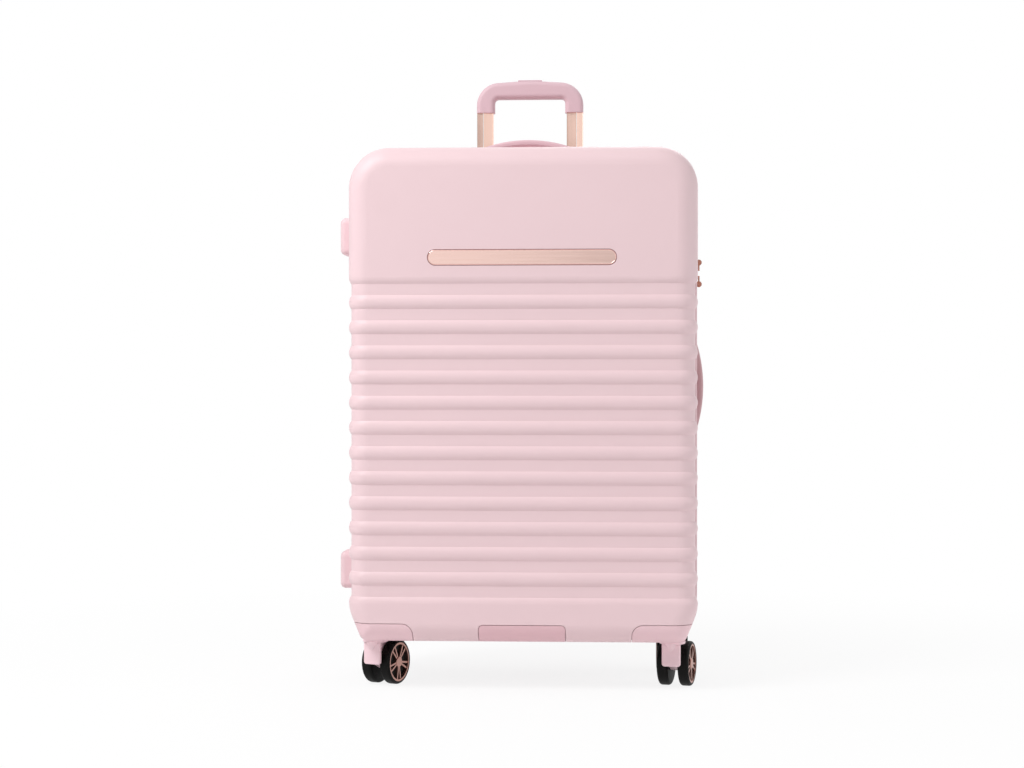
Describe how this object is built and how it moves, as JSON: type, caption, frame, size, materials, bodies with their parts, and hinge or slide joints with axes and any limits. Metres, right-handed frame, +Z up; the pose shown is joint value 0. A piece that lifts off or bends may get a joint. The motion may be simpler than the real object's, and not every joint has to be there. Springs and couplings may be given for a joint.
{
  "type": "hard shell suitcase on wheels",
  "caption": "Large hard shell suitcase: two ribbed shells closed by a zip with an expansion gusset, twin-wheel swivel castors, a telescopic pull handle, carry handles and a dial lock.",
  "frame": {"origin": "on the floor under the middle of the case", "axes": "+X across the width to the side with the side handle and lock, +Y from the front shell to the back with the pull handle, +Z up"},
  "size_m": [0.5125, 0.3004, 0.8738],
  "materials": {
    "shell_pink": "satin moulded plastic",
    "trim_pink": "satin moulded plastic",
    "button_pink": "satin moulded plastic",
    "lining_cloth": "woven polyester",
    "gusset_cloth": "woven polyester",
    "zip_teeth": "moulded teeth on woven tape",
    "rose_metal": "plated zinc alloy",
    "tube_metal": "anodised",
    "steel": "zinc plated",
    "bracket_plastic": "moulded",
    "fork_pink": "satin moulded plastic",
    "wheel_black": "smooth tread",
    "hub_rose": "plated plastic",
    "axle_steel": "drawn"
  },
  "bodies": {
    "rear_case": {"rear_shell": "shell_pink", "rear_lining": "lining_cloth", "rear_zip_chain": "zip_teeth", "hinge_strip": "gusset_cloth", "rear_corner_housings": "trim_pink", "rear_screws": "steel", "handle_sockets": "trim_pink", "lock_case": "trim_pink", "trolley_bezel": "trim_pink", "trolley_bracket": "bracket_plastic", "outer_tubes": "tube_metal"},
    "lid_frame": {"front_zip_chain": "zip_teeth", "expansion_gusset": "gusset_cloth"},
    "front_case": {"front_shell": "shell_pink", "front_lining": "lining_cloth", "front_corner_housings": "trim_pink", "front_screws": "steel", "bottom_grip_plate": "trim_pink", "name_plate": "rose_metal", "side_feet": "trim_pink"},
    "middle_stage": {"middle_tubes": "tube_metal"},
    "top_stage": {"inner_tubes": "tube_metal", "grip": "trim_pink"},
    "grip_button": {"grip_button": "button_pink"},
    "top_handle": {"top_handle": "trim_pink"},
    "side_handle": {"side_handle": "trim_pink"},
    "lock_button": {"lock_button": "button_pink"},
    "upper_slider": {"upper_zip_slider": "rose_metal"},
    "upper_puller": {"upper_zip_puller": "rose_metal"},
    "lower_slider": {"lower_zip_slider": "rose_metal"},
    "lower_puller": {"lower_zip_puller": "rose_metal"},
    "gusset_slider": {"gusset_zip_slider": "rose_metal"},
    "gusset_puller": {"gusset_zip_puller": "rose_metal"},
    "dial_1": {"lock_dial_1": "bracket_plastic"},
    "dial_2": {"lock_dial_2": "bracket_plastic"},
    "dial_3": {"lock_dial_3": "bracket_plastic"},
    "front_left_swivel": {"front_left_fork": "fork_pink", "front_left_axle": "axle_steel"},
    "front_left_left_roller": {"front_left_left_wheel": "wheel_black", "front_left_left_hub_cap": "hub_rose"},
    "front_left_right_roller": {"front_left_right_wheel": "wheel_black", "front_left_right_hub_cap": "hub_rose"},
    "front_right_swivel": {"front_right_fork": "fork_pink", "front_right_axle": "axle_steel"},
    "front_right_left_roller": {"front_right_left_wheel": "wheel_black", "front_right_left_hub_cap": "hub_rose"},
    "front_right_right_roller": {"front_right_right_wheel": "wheel_black", "front_right_right_hub_cap": "hub_rose"},
    "rear_left_swivel": {"rear_left_fork": "fork_pink", "rear_left_axle": "axle_steel"},
    "rear_left_left_roller": {"rear_left_left_wheel": "wheel_black", "rear_left_left_hub_cap": "hub_rose"},
    "rear_left_right_roller": {"rear_left_right_wheel": "wheel_black", "rear_left_right_hub_cap": "hub_rose"},
    "rear_right_swivel": {"rear_right_fork": "fork_pink", "rear_right_axle": "axle_steel"},
    "rear_right_left_roller": {"rear_right_left_wheel": "wheel_black", "rear_right_left_hub_cap": "hub_rose"},
    "rear_right_right_roller": {"rear_right_right_wheel": "wheel_black", "rear_right_right_hub_cap": "hub_rose"}
  },
  "joints": [
    {"name": "lid_hinge", "type": "hinge", "parent": "rear_case", "child": "lid_frame", "pos_m": [-0.244, 0.005, 0.408], "axis": [0, 0, -1], "range_deg": [0, 160]},
    {"name": "expansion", "type": "slide", "parent": "lid_frame", "child": "front_case", "axis": [0, -1, 0], "range_m": [0, 0.04], "deforming": ["expansion_gusset"]},
    {"name": "handle_lower_stage", "type": "slide", "parent": "rear_case", "child": "middle_stage", "axis": [0, 0, 1], "range_m": [0, 0.165]},
    {"name": "handle_upper_stage", "type": "slide", "parent": "middle_stage", "child": "top_stage", "axis": [0, 0, 1], "range_m": [-0.096, 0.067]},
    {"name": "grip_button_press", "type": "slide", "parent": "top_stage", "child": "grip_button", "axis": [0, 0, -1], "range_m": [0, 0.003], "stiffness_N_per_m": 400},
    {"name": "top_handle_lift", "type": "slide", "parent": "rear_case", "child": "top_handle", "axis": [0, 0, 1], "range_m": [0, 0.012], "stiffness_N_per_m": 300, "springref_m": -0.004},
    {"name": "side_handle_lift", "type": "slide", "parent": "rear_case", "child": "side_handle", "axis": [1, 0, 0], "range_m": [0, 0.012], "stiffness_N_per_m": 300, "springref_m": -0.004},
    {"name": "lock_button_press", "type": "slide", "parent": "rear_case", "child": "lock_button", "axis": [-1, 0, 0], "range_m": [0, 0.0013], "stiffness_N_per_m": 400},
    {"name": "upper_slider_run", "type": "slide", "parent": "rear_case", "child": "upper_slider", "axis": [0, 0, 1], "range_m": [0, 0.08]},
    {"name": "upper_puller_swing", "type": "hinge", "parent": "upper_slider", "child": "upper_puller", "pos_m": [0.2466, 0.005, 0.594], "axis": [0, -1, 0], "range_deg": [0, 150]},
    {"name": "lower_slider_run", "type": "slide", "parent": "rear_case", "child": "lower_slider", "axis": [0, 0, -1], "range_m": [0, 0.38]},
    {"name": "lower_puller_swing", "type": "hinge", "parent": "lower_slider", "child": "lower_puller", "pos_m": [0.2466, 0.005, 0.563], "axis": [0, 1, 0], "range_deg": [0, 150]},
    {"name": "gusset_slider_run", "type": "slide", "parent": "lid_frame", "child": "gusset_slider", "axis": [0, 0, 1], "range_m": [-0.2, 0.2]},
    {"name": "gusset_puller_swing", "type": "hinge", "parent": "gusset_slider", "child": "gusset_puller", "pos_m": [-0.2456, -0.012, 0.404], "axis": [0, 1, 0], "range_deg": [0, 176]},
    {"name": "dial_1_turn", "type": "hinge", "parent": "rear_case", "child": "dial_1", "pos_m": [0.236, 0.032, 0.565], "axis": [0, 0, 1], "continuous": true},
    {"name": "dial_2_turn", "type": "hinge", "parent": "rear_case", "child": "dial_2", "pos_m": [0.236, 0.032, 0.571], "axis": [0, 0, 1], "continuous": true},
    {"name": "dial_3_turn", "type": "hinge", "parent": "rear_case", "child": "dial_3", "pos_m": [0.236, 0.032, 0.577], "axis": [0, 0, 1], "continuous": true},
    {"name": "front_left_swivel_turn", "type": "hinge", "parent": "front_case", "child": "front_left_swivel", "pos_m": [-0.206, -0.098, 0.066], "axis": [0, 0, 1], "continuous": true},
    {"name": "front_left_left_roll", "type": "hinge", "parent": "front_left_swivel", "child": "front_left_left_roller", "pos_m": [-0.19461, -0.07242, 0.031], "axis": [0.9135, -0.4067, 0], "continuous": true},
    {"name": "front_left_right_roll", "type": "hinge", "parent": "front_left_swivel", "child": "front_left_right_roller", "pos_m": [-0.19461, -0.07242, 0.031], "axis": [0.9135, -0.4067, 0], "continuous": true},
    {"name": "front_right_swivel_turn", "type": "hinge", "parent": "front_case", "child": "front_right_swivel", "pos_m": [0.206, -0.098, 0.066], "axis": [0, 0, 1], "continuous": true},
    {"name": "front_right_left_roll", "type": "hinge", "parent": "front_right_swivel", "child": "front_right_left_roller", "pos_m": [0.21277, -0.07083, 0.031], "axis": [0.9703, -0.2419, 0], "continuous": true},
    {"name": "front_right_right_roll", "type": "hinge", "parent": "front_right_swivel", "child": "front_right_right_roller", "pos_m": [0.21277, -0.07083, 0.031], "axis": [0.9703, -0.2419, 0], "continuous": true},
    {"name": "rear_left_swivel_turn", "type": "hinge", "parent": "rear_case", "child": "rear_left_swivel", "pos_m": [-0.21, 0.098, 0.066], "axis": [0, 0, 1], "continuous": true},
    {"name": "rear_left_left_roll", "type": "hinge", "parent": "rear_left_swivel", "child": "rear_left_left_roller", "pos_m": [-0.21, 0.07, 0.031], "axis": [-1, 0, 0], "continuous": true},
    {"name": "rear_left_right_roll", "type": "hinge", "parent": "rear_left_swivel", "child": "rear_left_right_roller", "pos_m": [-0.21, 0.07, 0.031], "axis": [-1, 0, 0], "continuous": true},
    {"name": "rear_right_swivel_turn", "type": "hinge", "parent": "rear_case", "child": "rear_right_swivel", "pos_m": [0.21, 0.098, 0.066], "axis": [0, 0, 1], "continuous": true},
    {"name": "rear_right_left_roll", "type": "hinge", "parent": "rear_right_swivel", "child": "rear_right_left_roller", "pos_m": [0.21, 0.07, 0.031], "axis": [-1, 0, 0], "continuous": true},
    {"name": "rear_right_right_roll", "type": "hinge", "parent": "rear_right_swivel", "child": "rear_right_right_roller", "pos_m": [0.21, 0.07, 0.031], "axis": [-1, 0, 0], "continuous": true}
  ]
}
